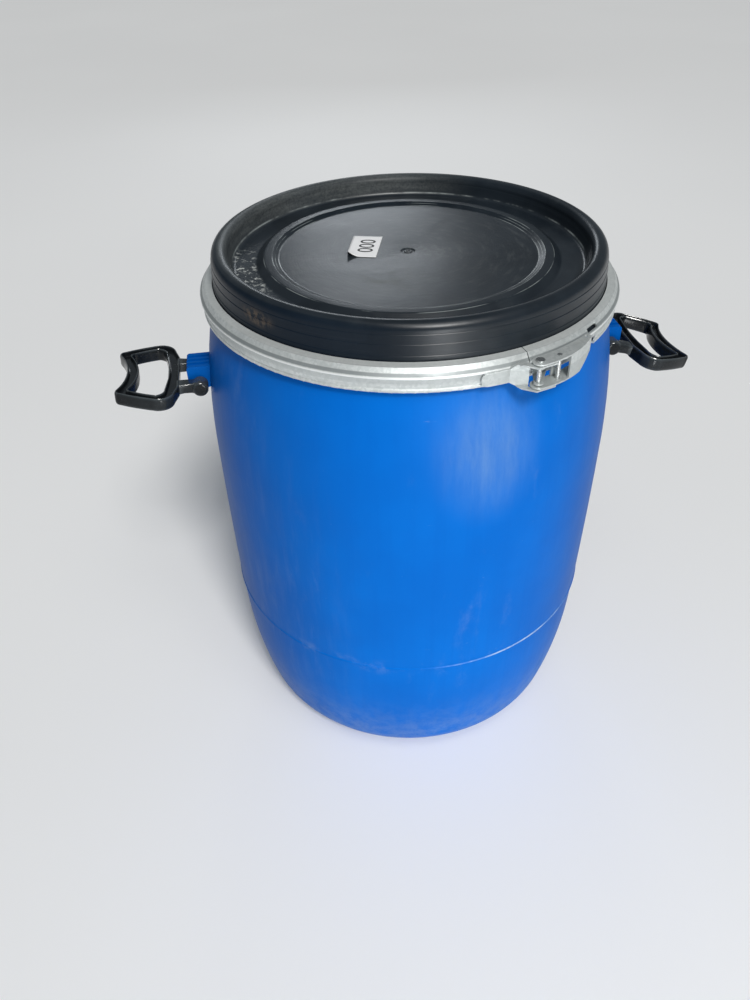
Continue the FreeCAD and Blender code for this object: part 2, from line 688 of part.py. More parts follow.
def make_pins(doc):
    """The fulcrum pin, with its rivet head on top, and the hook pin."""
    pin, radius = cell("fulcrum_rad"), cell("pin_rad")
    low, high = cell("lever_low_z"), cell("lever_top_z")
    gap = cell("pin_gap")
    head = rod(doc, "fulcrum_head", cell("head_rad"), cell("head_high"), pin, 0, high + gap)
    shank = rod(doc, "fulcrum_shank", radius, high + gap + 0.4 - low, pin, 0, low)
    fulcrum = fused(doc, "fulcrum_pin", [head, shank])
    turn_about_axis(fulcrum, cell("latch_azimuth"))
    hook = doc.addObject("Part::Cylinder", "hook_pin")
    foot = cell("strap_low_z") - 0.6
    hook.setExpression("Radius", radius.text)
    hook.setExpression("Height", (high + 0.3 - foot).text)
    turn = math.radians(SIZES["latch_azimuth"])
    x, y = SIZES["fulcrum_rad"] - SIZES["hook_in"], SIZES["pin_step"]
    hook.Placement.Base = FreeCAD.Vector(
        x * math.cos(turn) - y * math.sin(turn),
        x * math.sin(turn) + y * math.cos(turn),
        foot.number,
    )
    return [fulcrum, hook]


# ---------------------------------------------------------------- handles

def make_handle_plans(doc):
    """The handle's outer outline and its finger opening, in reach (x) and half width (y)."""
    base_in, base_out = cell("base_bar_in"), cell("base_bar_out")
    side, end = cell("loop_side"), cell("loop_end")
    outer = [
        (end, 34.6, -75), (end - 2.8, 39.8, 4), (40, side, 160), (23.4, side - 12.6, 15),
        (base_in, 28),
    ]
    inner = [
        (end - 12.6, 31, -67), (end - 15.2, 36, 3.5), (41, side - 9.4, 170),
        (base_out + 3.0, side - 19, 9), (base_out, 14),
    ]
    plans = []
    for name, half in (("handle_outer_plan", outer), ("handle_opening_plan", inner)):
        other = []
        for i in range(len(half) - 1, -1, -1):
            bend = half[i + 1][2:] if i + 1 < len(half) else ()
            other.append((half[i][0], -size(half[i][1])) + bend)
        plans.append(flat_sketch(doc, name, half + other))
    return plans


def handle_loop(doc, name, plans):
    """The D-shaped loop: a bar with a raised lip round each edge, above and below."""
    high, low = cell("grip_top"), -cell("grip_bottom")
    solid = cut(
        doc, name + "_bar",
        raised(doc, name + "_outer", plans[0], low, high),
        raised(doc, name + "_opening", plans[1], low - SPARE, high + SPARE),
    )
    inset = []
    for plan, sign in zip(plans, (-1, 1)):
        offset = doc.addObject("Part::Offset2D", f"{name}_inset_{len(inset)}")
        offset.Source = plan
        offset.Join = 0
        offset.Value = sign * SIZES["lip_width"]
        offset.setExpression("Value", (cell("lip_width") * sign).text)
        inset.append(offset)
    lip = cell("lip_high")
    channels = []
    for face, (start, stop) in {
        "top": (high - lip, high + SPARE),
        "under": (low - SPARE, low + lip),
    }.items():
        channels.append(cut(
            doc, f"{name}_channel_{face}",
            raised(doc, f"{name}_channel_out_{face}", inset[0], start, stop),
            raised(doc, f"{name}_channel_in_{face}", inset[1], start - SPARE, stop + SPARE),
        ))
    both = fused(doc, name + "_channels", channels)
    return cut(doc, name + "_loop", solid, both)


def make_handle(doc, label, plans, azimuth, tilt):
    """One swing handle, placed with its hubs either side of the lug."""
    loop = handle_loop(doc, label, plans)
    pieces = [loop]
    inner, outer = cell("hub_in"), cell("hub_out")
    high = cell("arm_half_high")
    for side, sign in (("near", -1), ("far", 1)):
        ends = sorted((inner * sign, outer * sign), key=lambda v: v.number)
        pieces.append(cross_rod(doc, f"{label}_hub_{side}", cell("hub_rad"), *ends))
        ends = sorted((cell("stub_reach") * sign, inner * sign), key=lambda v: v.number)
        pieces.append(cross_rod(doc, f"{label}_stub_{side}", cell("stub_rad"), *ends))
        ends = sorted((inner * sign, cell("arm_out") * sign), key=lambda v: v.number)
        pieces.append(block(
            doc, f"{label}_arm_{side}",
            (0, ends[0], -high), (cell("base_bar_in") + 2.4, ends[1], high),
        ))
    handle = fused(doc, label, pieces)
    around = FreeCAD.Rotation(FreeCAD.Vector(0, 0, 1), azimuth)
    lean = FreeCAD.Rotation(FreeCAD.Vector(0, 1, 0), -tilt)
    place = FreeCAD.Vector(SIZES["pivot_rad"], 0, SIZES["pivot_z"])
    handle.Placement = FreeCAD.Placement(around.multVec(place), around * lean)
    return handle


# ---------------------------------------------------------------- whole drum

def check(doc, pieces):
    """Stops with a message if any feature failed, or a piece isn't one valid solid."""
    for made in doc.Objects:
        if {"Invalid", "Error"} & set(made.State):
            raise RuntimeError(f"{made.Name} failed: {made.State}")
    for piece in pieces:
        shape = piece.Shape
        if shape.isNull() or not shape.isValid() or len(shape.Solids) != 1:
            raise RuntimeError(f"{piece.Label} is not one valid solid")


def main():
    doc = FreeCAD.newDocument("drum")
    make_sheet(doc)
    plans = make_handle_plans(doc)
    pieces = [
        make_drum_body(doc),
        make_lid(doc),
        make_gasket(doc),
        make_label(doc),
        make_band(doc),
        make_strap(doc),
        make_bracket(doc),
        make_lever(doc),
        *make_pins(doc),
        make_handle(doc, "handle_right", plans, 0, -SIZES["right_tilt"]),
        make_handle(doc, "handle_left", plans, 180, SIZES["left_tilt"]),
    ]
    doc.recompute()
    check(doc, pieces)
    os.makedirs("parts", exist_ok=True)
    for piece in pieces:
        piece.Shape.exportStep(f"parts/{piece.Label}.step")
        box = piece.Shape.BoundBox
        volume = piece.Shape.Volume / 1000
        print(f"{piece.Label:16} {volume:9.2f} cm3  x {box.XMin:.1f} {box.XMax:.1f}"
              f"  y {box.YMin:.1f} {box.YMax:.1f}  z {box.ZMin:.1f} {box.ZMax:.1f}")


main()
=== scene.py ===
"""Looks for the open-top plastic drum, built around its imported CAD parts.
Metres, +Z up. The origin is the centre of the drum's base and the handles lie on +X and -X."""

import math

import bmesh
import bpy
from mathutils import Matrix, Vector


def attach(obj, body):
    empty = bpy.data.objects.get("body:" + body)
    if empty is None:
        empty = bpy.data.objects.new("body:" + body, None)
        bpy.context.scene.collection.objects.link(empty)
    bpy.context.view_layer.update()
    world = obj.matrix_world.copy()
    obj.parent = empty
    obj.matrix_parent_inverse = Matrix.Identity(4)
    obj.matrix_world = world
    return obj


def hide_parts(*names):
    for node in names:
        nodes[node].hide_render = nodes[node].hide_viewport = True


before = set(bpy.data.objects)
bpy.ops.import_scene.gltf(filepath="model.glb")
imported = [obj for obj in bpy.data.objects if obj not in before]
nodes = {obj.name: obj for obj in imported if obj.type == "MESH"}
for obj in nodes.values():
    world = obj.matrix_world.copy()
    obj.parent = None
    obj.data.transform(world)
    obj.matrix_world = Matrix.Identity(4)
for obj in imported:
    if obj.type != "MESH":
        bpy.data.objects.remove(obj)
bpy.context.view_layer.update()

# Heights of the drum's seam, the clamp ring's bead and the lid's panel, and the radius of the
# clamp ring's side.
SEAM_Z = 0.166
BEAD_Z = 0.500
PANEL_Z = 0.5232
SIDE_RAD = 0.1936


# ---------------------------------------------------------------- node trees

class Look:
    """One material, and short calls that add nodes to it."""

    def __init__(self, name):
        self.material = bpy.data.materials.new(name)
        self.material.use_nodes = True
        self.tree = self.material.node_tree
        self.surface = self.tree.nodes["Principled BSDF"]
        self.place = self.node("ShaderNodeTexCoord").outputs["Object"]

    def node(self, kind, sockets=None, **settings):
        made = self.tree.nodes.new(kind)
        for key, value in settings.items():
            setattr(made, key, value)
        for key, value in (sockets or {}).items():
            self.feed(made.inputs[key], value)
        return made

    def feed(self, socket, value):
        if isinstance(value, bpy.types.NodeSocket):
            self.tree.links.new(value, socket)
        else:
            socket.default_value = value

    def math(self, operation, *values, clamp=False):
        made = self.node("ShaderNodeMath", operation=operation, use_clamp=clamp)
        for socket, value in zip(made.inputs, values):
            self.feed(socket, value)
        return made.outputs[0]

    def vector(self, operation, *values):
        made = self.node("ShaderNodeVectorMath", operation=operation)
        for socket, value in zip(made.inputs, values):
            self.feed(socket, value)
        return made.outputs["Value" if operation == "LENGTH" else "Vector"]

    def spread(self, value, low, high, to_low=0.0, to_high=1.0):
        """value from low..high to to_low..to_high, eased and held at the ends."""
        made = self.node("ShaderNodeMapRange", interpolation_type="SMOOTHSTEP")
        for key, number in (("Value", value), ("From Min", low), ("From Max", high),
                            ("To Min", to_low), ("To Max", to_high)):
            self.feed(made.inputs[key], number)
        return made.outputs["Result"]

    def mapped(self, scale, turn=(0, 0, 0)):
        """The object's coordinates, stretched by scale and turned by degrees."""
        made = self.node("ShaderNodeMapping", {
            "Vector": self.place, "Scale": scale,
            "Rotation": [math.radians(t) for t in turn],
        })
        return made.outputs["Vector"]

    def noise(self, scale, detail=4.0, rough=0.55, place=None, warp=0.0):
        made = self.node("ShaderNodeTexNoise", {
            "Vector": place or self.place, "Scale": scale, "Detail": detail,
            "Roughness": rough, "Distortion": warp,
        })
        return made.outputs["Fac"]

    def cells(self, scale, output="Distance"):
        made = self.node("ShaderNodeTexVoronoi", {"Vector": self.place, "Scale": scale})
        return made.outputs[output]

    def mix(self, factor, first, second):
        made = self.node("ShaderNodeMix", data_type="RGBA")
        for index, value in ((0, factor), (6, first), (7, second)):
            if isinstance(value, tuple):
                value = (*value, 1.0)
            self.feed(made.inputs[index], value)
        return made.outputs[2]

    def bump(self, height, distance, strength=1.0, under=None):
        sockets = {"Height": height, "Distance": distance, "Strength": strength}
        if under is not None:
            sockets["Normal"] = under
        return self.node("ShaderNodeBump", sockets).outputs["Normal"]

    def around(self, lap, fine):
        """Coordinates that run round the drum's axis: slow along the turn, fine across it."""
        ux, uy, _ = self.split(self.vector("NORMALIZE", self.flat()))
        across = self.math("ADD", self.radius(), self.split(self.place)[2])
        made = self.node("ShaderNodeCombineXYZ", {
            "X": self.math("MULTIPLY", ux, lap),
            "Y": self.math("MULTIPLY", uy, lap),
            "Z": self.math("MULTIPLY", across, fine),
        })
        return made.outputs[0]

    def split(self, vector):
        made = self.node("ShaderNodeSeparateXYZ", {"Vector": vector})
        return made.outputs

    def flat(self):
        """The object's coordinates without their height."""
        x, y, _ = self.split(self.place)
        return self.node("ShaderNodeCombineXYZ", {"X": x, "Y": y}).outputs[0]

    def radius(self):
        return self.vector("LENGTH", self.flat())

    def upward(self, low, high):
        """1 on faces that look up, from the height of their normal."""
        normal = self.node("ShaderNodeNewGeometry").outputs["Normal"]
        return self.spread(self.split(normal)[2], low, high)

    def between(self, value, low, high, soft):
        """1 where value is between low and high, easing in over soft at both ends."""
        return self.math("MULTIPLY", self.spread(value, low, low + soft),
                         self.spread(value, high, high - soft))

    def patch(self, centre, size, soft=0.5):
        """1 at centre, falling to 0 at size away. size is a radius along each axis."""
        offset = self.vector("SUBTRACT", self.place, centre)
        scaled = self.vector("DIVIDE", offset, size)
        return self.spread(self.vector("LENGTH", scaled), soft, 1.0, 1.0, 0.0)

    def scratches(self, turn, long, fine, low, high):
        """Thin straight scratches along one direction."""
        place = self.mapped(scale=(long, fine, fine), turn=turn)
        return self.spread(self.noise(1.0, 3.0, 0.6, place), low, high)

    def finish(self, colour, rough, normal=None, metallic=0.0, specular=0.5):
        self.feed(self.surface.inputs["Base Color"],
                  (*colour, 1.0) if isinstance(colour, tuple) else colour)
        self.feed(self.surface.inputs["Roughness"], rough)
        self.surface.inputs["Metallic"].default_value = metallic
        self.feed(self.surface.inputs["Specular IOR Level"], specular)
        if normal is not None:
            self.feed(self.surface.inputs["Normal"], normal)
        return self.material


def total(look, *masks):
    """Several masks added together, held at 1."""
    whole = masks[0]
    for mask in masks[1:]:
        whole = look.math("ADD", whole, mask, clamp=True)
    return whole


# ---------------------------------------------------------------- materials

def blue_shell():
    """Blow-moulded blue polyethylene: satin, with vertical die lines, scuffs and dust."""
    look = Look("body_blue")
    x, _, z = look.split(look.place)
    cloudy = look.noise(9.0, 3.0, 0.5)
    die = look.noise(1.0, 4.0, 0.6, look.mapped(scale=(70, 70, 2.2)))
    colour = look.mix(look.spread(cloudy, 0.3, 0.7), (0.0, 0.126, 0.54), (0.0, 0.147, 0.60))
    colour = look.mix(look.spread(die, 0.45, 0.7, 0.0, 0.22), colour, (0.0, 0.110, 0.50))

    smear = look.noise(1.0, 5.0, 0.65, look.mapped(scale=(18, 18, 7), turn=(12, 8, 0)))
    scuffs = look.math("MULTIPLY", look.spread(smear, 0.58, 0.76), look.noise(240.0, 3.0, 0.7))
    fine = look.scratches((0, 22, 40), 6.0, 420.0, 0.70, 0.78)
    steep = look.scratches((25, 75, 10), 7.0, 380.0, 0.71, 0.79)
    marks = look.math("MULTIPLY", total(look, fine, steep), look.spread(smear, 0.46, 0.62))
    grain = look.noise(60.0, 5.0, 0.7)
    low_dust = look.math("MULTIPLY", look.spread(z, 0.12, 0.0), look.spread(grain, 0.3, 0.7))
    west = look.patch((-0.17, -0.10, 0.20), (0.15, 0.16, 0.34), 0.1)
    streaks = look.noise(1.0, 5.0, 0.7, look.mapped(scale=(90, 90, 14)))
    west = look.math("MULTIPLY", west, look.spread(streaks, 0.45, 0.75))
    rub_band = look.between(z, SEAM_Z - 0.016, SEAM_Z + 0.016, 0.015)
    rub_band = look.math("MULTIPLY", rub_band, look.spread(look.noise(30.0, 5.0, 0.7), 0.5, 0.7))
    # Painted sheen: a pale streaked patch high on the front, where the soft highlight falls.
    pale = look.patch((0.034, -0.192, 0.425), (0.062, 0.05, 0.085), 0.0)
    pale = look.math("MULTIPLY", pale, look.spread(streaks, 0.30, 0.70, 0.5, 1.0))
    colour = look.mix(look.math("MULTIPLY", pale, 0.6), colour, (0.15, 0.29, 0.55))
    dust = total(look, look.math("MULTIPLY", scuffs, 0.22), look.math("MULTIPLY", marks, 0.22),
                 look.math("MULTIPLY", low_dust, 0.30), look.math("MULTIPLY", west, 0.07),
                 look.math("MULTIPLY", rub_band, 0.16))
    # Painted highlight: a pale broken line along the seam ridge, on the front right only, where
    # the light catches it.
    edge = look.between(z, SEAM_Z - 0.0012, SEAM_Z + 0.0016, 0.0008)
    edge = look.math("MULTIPLY", edge, look.patch((0.10, -0.17, SEAM_Z), (0.13, 0.08, 0.05), 0.3))
    edge = look.math("MULTIPLY", edge, look.spread(look.noise(55.0, 4.0, 0.7), 0.35, 0.6, 0.3, 1))
    colour = look.mix(look.math("MULTIPLY", edge, 0.8), colour, (0.45, 0.58, 0.70))
    # Painted shade: the blue is darkened towards the body's left and right sides.
    side_shade_painted = look.spread(look.math("ABSOLUTE", x), 0.07, 0.20, 0.0, 0.7)
    colour = look.mix(side_shade_painted, colour, (0.0, 0.075, 0.33))
    colour = look.mix(dust, colour, (0.34, 0.42, 0.50))

    peel = look.noise(260.0, 2.0, 0.5)
    wave = look.noise(14.0, 2.0, 0.5)
    normal = look.bump(wave, 0.0022, 0.5)
    normal = look.bump(die, 0.0006, 0.35, normal)
    normal = look.bump(peel, 0.00012, 0.45, normal)
    normal = look.bump(marks, 0.0001, -0.5, normal)
    rough = look.spread(total(look, scuffs, dust), 0.0, 0.8, 0.40, 0.62)
    return look.finish(colour, rough, normal, specular=0.05)


def black_lid():
    """Injection-moulded black polyethylene: turning marks, dust in the trough and smears."""
    look = Look("lid_black")
    x, y, z = look.split(look.place)
    radius = look.radius()
    rings = look.noise(1.0, 4.0, 0.65, look.around(1.6, 620.0))
    cloudy = look.noise(13.0, 5.0, 0.6, warp=0.6)
    colour = look.mix(look.spread(cloudy, 0.35, 0.7), (0.008, 0.012, 0.017),
                      (0.014, 0.020, 0.027))
    colour = look.mix(look.spread(rings, 0.5, 0.75, 0.0, 0.2), colour, (0.045, 0.055, 0.064))

    grit = look.noise(420.0, 4.0, 0.75)
    swirl = look.noise(1.0, 5.0, 0.7, look.around(4.0, 190.0))
    smudge = total(
        look,
        look.patch((-0.026, -0.062, PANEL_Z), (0.062, 0.036, 0.02), 0.0),
        look.math("MULTIPLY", look.patch((0.004, -0.006, PANEL_Z), (0.07, 0.03, 0.02), 0.0), 0.6),
    )
    smudge = look.math("MULTIPLY", smudge, look.spread(swirl, 0.40, 0.68))
    panel = look.spread(radius, 0.121, 0.116)
    arcs = look.math("MULTIPLY", panel, look.spread(swirl, 0.48, 0.72))
    floor = look.math("MULTIPLY", look.between(radius, 0.139, 0.164, 0.005),
                      look.spread(z, PANEL_Z, 0.5205))
    left = look.patch((-0.150, -0.015, 0.52), (0.05, 0.075, 0.03), 0.2)
    drift = look.noise(170.0, 5.0, 0.7)
    trough_dust = look.math("MULTIPLY", look.math("MULTIPLY", floor, left),
                            look.spread(drift, 0.53, 0.62))
    # Painted sheen: the inner wall on the far side is lightened towards the dust colour.
    behind = look.spread(look.math("SUBTRACT", y, x), 0.02, 0.16)
    back_wall_sheen_painted = look.math("MULTIPLY", look.between(radius, 0.160, 0.176, 0.004), behind)
    back_wall_sheen_painted = look.math("MULTIPLY", back_wall_sheen_painted, look.spread(swirl, 0.3, 0.7, 0.5, 1.0))
    film = look.spread(look.noise(34.0, 6.0, 0.7), 0.5, 0.8)
    up = look.upward(0.2, 0.95)
    # This mask holds the dust and also the painted sheen on the far inner wall.
    dust = total(
        look,
        look.math("MULTIPLY", smudge, 0.36),
        look.math("MULTIPLY", arcs, 0.10),
        look.math("MULTIPLY", trough_dust, 1.0),
        look.math("MULTIPLY", back_wall_sheen_painted, 0.26),
        look.math("MULTIPLY", look.math("MULTIPLY", film, up), 0.04),
    )
    dust = look.math("MULTIPLY", dust, look.spread(grit, 0.25, 0.65, 0.45, 1.0))
    colour = look.mix(dust, colour, (0.34, 0.36, 0.35))
    colour = look.mix(look.math("MULTIPLY", trough_dust, 0.5), colour, (0.62, 0.64, 0.62))

    def ring(middle, half):
        """1 on a circle of the lid, falling to 0 at half either side."""
        away = look.math("ABSOLUTE", look.math("SUBTRACT", radius, middle))
        return look.spread(away, half, half * 0.3)

    # Painted highlights: pale lines on the edge circles of the panel, ring and trough, broken up
    # by noise.
    worn = total(look, ring(0.1196, 0.0005), ring(0.1226, 0.0004), ring(0.1254, 0.0006),
                 ring(0.1332, 0.0004), ring(0.1622, 0.0005))
    worn = look.math("MULTIPLY", worn, look.spread(look.noise(26.0, 4.0, 0.6), 0.45, 0.65))
    colour = look.mix(look.math("MULTIPLY", worn, 0.8), colour, (0.27, 0.30, 0.30))
    wall = look.spread(radius, 0.176, 0.179)
    # Painted shade: the outer wall is darkened towards navy on the left.
    left_wall_shade_painted = look.math("MULTIPLY", wall, look.spread(x, 0.02, -0.13))
    colour = look.mix(look.math("MULTIPLY", left_wall_shade_painted, 0.7), colour, (0.004, 0.010, 0.020))
    scuff = look.patch((-0.146, -0.108, 0.522), (0.022, 0.028, 0.010), 0.1)
    scuff = look.math("MULTIPLY", scuff, look.spread(look.noise(160.0, 4.0, 0.7), 0.42, 0.6))
    scuff = look.math("MULTIPLY", scuff, wall)
    colour = look.mix(look.math("MULTIPLY", scuff, 0.55), colour, (0.16, 0.115, 0.075))

    normal = look.bump(cloudy, 0.0012, 0.30)
    normal = look.bump(rings, 0.0001, 0.4, normal)
    normal = look.bump(look.noise(900.0, 2.0, 0.5), 0.00004, 0.4, normal)
    rough = look.spread(total(look, dust, look.math("MULTIPLY", cloudy, 0.4)),
                        0.1, 0.8, 0.30, 0.60)
    dull = total(look, look.math("MULTIPLY", wall, 0.35), left_wall_shade_painted, ring(0.1226, 0.0040),
                 ring(0.1655, 0.0045))
    return look.finish(colour, rough, normal, specular=look.spread(dull, 0.0, 1.0, 0.5, 0.13))


def black_handle():
    """Glossy black moulded plastic with fine scratches and a little dust."""
    look = Look("handle_black")
    cloudy = look.noise(60.0, 5.0, 0.65)
    colour = look.mix(look.spread(cloudy, 0.35, 0.7), (0.005, 0.0065, 0.008),
                      (0.010, 0.012, 0.014))
    rub = total(look, look.scratches((10, 30, 40), 25.0, 900.0, 0.66, 0.76),
                look.scratches((60, -20, -35), 22.0, 800.0, 0.67, 0.77))
    specks = look.spread(look.noise(380.0, 4.0, 0.7), 0.63, 0.75)
    up = look.upward(0.1, 0.9)
    dust = look.math("MULTIPLY", total(look, specks, look.spread(cloudy, 0.55, 0.75)), up)
    colour = look.mix(look.math("MULTIPLY", dust, 0.05), colour, (0.26, 0.27, 0.26))
    colour = look.mix(look.math("MULTIPLY", rub, 0.2), colour, (0.08, 0.085, 0.09))
    # Painted highlight: the sharp crests of the lips are lightened.
    crest_highlight_painted = look.node("ShaderNodeNewGeometry").outputs["Pointiness"]
    colour = look.mix(look.spread(crest_highlight_painted, 0.51, 0.58, 0.0, 0.7), colour, (0.085, 0.098, 0.105))
    normal = look.bump(look.noise(110.0, 3.0, 0.5), 0.0006, 0.35)
    normal = look.bump(rub, 0.00015, -0.6, normal)
    rough = look.spread(total(look, dust, rub), 0.0, 1.0, 0.16, 0.42)
    return look.finish(colour, rough, normal, specular=look.spread(up, 0.0, 1.0, 0.22, 1.0))


def galvanised():
    """Rolled galvanised strip: brushed along the strip, a trace of spangle and dull stains."""
    look = Look("galvanised")
    brushed = look.noise(1.0, 4.0, 0.6, look.around(7.0, 1500.0))
    lines = look.noise(1.0, 3.0, 0.6, look.around(3.0, 520.0))
    broad = look.noise(1.0, 3.0, 0.55, look.around(9.0, 90.0))
    spangle = look.cells(430.0, output="Color")
    grey = look.node("ShaderNodeRGBToBW", {"Color": spangle}).outputs[0]
    stain = look.noise(38.0, 6.0, 0.7, warp=0.8)
    colour = look.mix(look.spread(grey, 0.1, 0.9), (0.56, 0.60, 0.595), (0.70, 0.73, 0.725))
    colour = look.mix(look.spread(lines, 0.35, 0.7, 0.0, 0.45), colour, (0.50, 0.53, 0.53))
    colour = look.mix(look.spread(broad, 0.35, 0.7, 0.0, 0.35), colour, (0.47, 0.50, 0.50))
    colour = look.mix(look.spread(stain, 0.56, 0.76, 0.0, 0.35), colour, (0.40, 0.41, 0.38))
    z, radius = look.split(look.place)[2], look.radius()
    # Painted shade: the sloped face above the bead is darkened.
    slope_shade_painted = look.math("MULTIPLY", look.between(z, BEAD_Z + 0.0010, BEAD_Z + 0.0040, 0.0006),
                      look.spread(radius, SIDE_RAD + 0.0004, SIDE_RAD + 0.0001))
    colour = look.mix(look.math("MULTIPLY", slope_shade_painted, 0.9), colour, (0.26, 0.285, 0.29))
    # Painted highlight: the up-facing top flange is lightened.
    flange = look.math("MULTIPLY", look.spread(z, BEAD_Z + 0.0073, BEAD_Z + 0.0076),
                       look.spread(radius, SIDE_RAD - 0.0040, SIDE_RAD - 0.0044))
    colour = look.mix(look.math("MULTIPLY", flange, 0.55), colour, (0.80, 0.83, 0.82))
    # Painted shade: the side below the bead is greyed down.
    side = look.math("MULTIPLY", look.spread(z, BEAD_Z - 0.0008, BEAD_Z - 0.0012),
                     look.spread(radius, SIDE_RAD - 0.0011, SIDE_RAD - 0.0006))
    colour = look.mix(look.math("MULTIPLY", side, 0.45), colour, (0.40, 0.43, 0.43))
    # Painted highlight: the ridge of the bead is lightened almost to white.
    bead = look.math("MULTIPLY", look.between(z, BEAD_Z - 0.0010, BEAD_Z + 0.0010, 0.0004),
                     look.spread(radius, SIDE_RAD + 0.0009, SIDE_RAD + 0.0007))
    colour = look.mix(bead, colour, (0.82, 0.84, 0.84))
    normal = look.bump(brushed, 0.00005, 0.5)
    normal = look.bump(lines, 0.00006, 0.4, normal)
    normal = look.bump(look.noise(120.0, 3.0, 0.5), 0.0004, 0.2, normal)
    rough = look.math("ADD", look.spread(brushed, 0.3, 0.7, 0.42, 0.54),
                      look.spread(stain, 0.5, 0.8, 0.0, 0.12))
    return look.finish(colour, rough, normal, metallic=0.5)


def plated_pin():
    """Zinc-plated rivets with turning marks on their heads."""
    look = Look("pin_steel")
    worn = look.noise(500.0, 4.0, 0.6)
    colour = look.mix(look.spread(worn, 0.4, 0.7), (0.62, 0.64, 0.64), (0.46, 0.47, 0.46))
    normal = look.bump(worn, 0.00008, 0.5)
    return look.finish(colour, look.spread(worn, 0.35, 0.7, 0.24, 0.42), normal, metallic=0.9)


def foam():
    """Dark foamed rubber."""
    look = Look("gasket_foam")
    pores = look.cells(900.0)
    colour = look.mix(look.spread(pores, 0.1, 0.5), (0.02, 0.02, 0.02), (0.05, 0.05, 0.05))
    return look.finish(colour, 0.85, look.bump(pores, 0.0003, 0.6), specular=0.3)


def paper():
    """White label paper, slightly cockled and dusty."""
    look = Look("label_paper")
    fibres = look.noise(1400.0, 4.0, 0.7)
    grime = look.noise(90.0, 5.0, 0.65)
    colour = look.mix(look.spread(grime, 0.5, 0.75, 0.0, 0.35), (0.86, 0.86, 0.87),
                      (0.66, 0.66, 0.66))
    normal = look.bump(look.noise(60.0, 2.0, 0.5), 0.0008, 0.4)
    normal = look.bump(fibres, 0.00004, 0.5, normal)
    return look.finish(colour, look.spread(fibres, 0.3, 0.7, 0.5, 0.62), normal)


def ink():
    """Printed black ink, slightly worn."""
    look = Look("label_ink")
    worn = look.noise(1800.0, 3.0, 0.6)
    colour = look.mix(look.spread(worn, 0.6, 0.8, 0.0, 0.3), (0.012, 0.012, 0.014),
                      (0.2, 0.2, 0.2))
    return look.finish(colour, 0.55, look.bump(worn, 0.00002, 0.4))


def pale_floor():
    """A plain pale floor, very slightly uneven in tone."""
    look = Look("studio_floor")
    soft = look.noise(0.8, 2.0, 0.5)
    colour = look.mix(look.spread(soft, 0.3, 0.7), (0.89, 0.89, 0.89), (0.91, 0.91, 0.91))
    return look.finish(colour, 0.9, specular=0.1)


def paint(piece, material):
    """Gives the piece this material alone."""
    piece.data.materials.clear()
    piece.data.materials.append(material)


def add(name, mesh, material, body):
    """A finished mesh as a piece that rides on a CAD body."""
    piece = bpy.data.objects.new(name, mesh)
    bpy.context.scene.collection.objects.link(piece)
    paint(piece, material)
    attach(piece, body)
    return piece


# ---------------------------------------------------------------- meshes

def rounded(corners, steps=7):
    """The outline through corners (x, y) or (x, y, fillet), with an arc at each fillet."""
    points = []
    for i, corner in enumerate(corners):
        here = Vector(corner[:2])
        if len(corner) == 2:
            points.append(here)
            continue
        before = (Vector(corners[i - 1][:2]) - here).normalized()
        after = (Vector(corners[(i + 1) % len(corners)][:2]) - here).normalized()
        half = before.angle(after) / 2
        centre = here + (before + after).normalized() * corner[2] / math.sin(half)
        reach = corner[2] / math.tan(half)
        first = here + before * reach - centre
        sweep = first.angle_signed(here + after * reach - centre)
        for step in range(steps + 1):
            turn = -sweep * step / steps
            points.append(centre + Matrix.Rotation(turn, 2) @ first)
    return points


def bowed(start, stop, bend, steps):
    """The points after start on the way to stop: an arc of radius bend, positive to the left."""
    chord = stop - start
    if not bend:
        return [start + chord * step / steps for step in range(1, steps + 1)]
    side = math.copysign(1, bend)
    left = Vector((-chord.y, chord.x)).normalized()
    depth = math.sqrt(bend * bend - chord.length_squared / 4)
    centre = (start + stop) / 2 + left * side * depth
    sweep = side * 2 * math.asin(chord.length / 2 / abs(bend))
    return [centre + Matrix.Rotation(sweep * step / steps, 2) @ (start - centre)
            for step in range(1, steps + 1)]


def skin(mesh, rings, place=Matrix(), joined=False):
    """Faces between rings of points. joined runs on from the last ring to the first; the ends
    are capped otherwise."""
    made = [[mesh.verts.new(place @ point) for point in ring] for ring in rings]
    following = made[1:] + made[:1] if joined else made[1:]
    for first, second in zip(made, following):
        count = max(len(first), len(second))
        for i in range(count):
            j = (i + 1) % count
            corners = [first[i % len(first)], second[i % len(second)],
                       second[j % len(second)], first[j % len(first)]]
            mesh.faces.new(list(dict.fromkeys(corners)))
    if not joined:
        for ring in (made[0], made[-1]):
            if len(ring) > 2:
                mesh.faces.new(ring)


def circle(radius, height, steps):
    """A ring of points round Z, or the one point on the axis where the radius is nothing."""
    if radius < 1e-7:
        return [Vector((0, 0, height))]
    turns = [math.tau * step / steps for step in range(steps)]
    return [Vector((radius * math.cos(t), radius * math.sin(t), height)) for t in turns]


def turned(mesh, outline, steps=288, place=Matrix()):
    """Adds the outline in radius and height, turned about Z."""
    skin(mesh, [circle(x, y, steps) for x, y in outline], place)


def finished(name, mesh, sharp=32):
    """The bmesh as mesh data, smooth except at edges sharper than sharp, in degrees."""
    bmesh.ops.recalc_face_normals(mesh, faces=mesh.faces)
    data = bpy.data.meshes.new(name)
    mesh.to_mesh(data)
    mesh.free()
    data.polygons.foreach_set("use_smooth", [True] * len(data.polygons))
    data.set_sharp_from_angle(angle=math.radians(sharp))
    return data


def soften(piece, width, segments=2):
    """Rounds the hard edges of a CAD part with modifiers."""
    hard_edge = math.radians(28)
    weld = piece.modifiers.new("weld", "WELD")
    weld.merge_threshold = 0.00001
    bevel = piece.modifiers.new("soft_edges", "BEVEL")
    bevel.width = width
    bevel.segments = segments
    bevel.limit_method = "ANGLE"
    bevel.angle_limit = hard_edge
    bevel.use_clamp_overlap = True
    bevel.harden_normals = False
    piece.modifiers.new("even_shading", "WEIGHTED_NORMAL")


# ---------------------------------------------------------------- lid

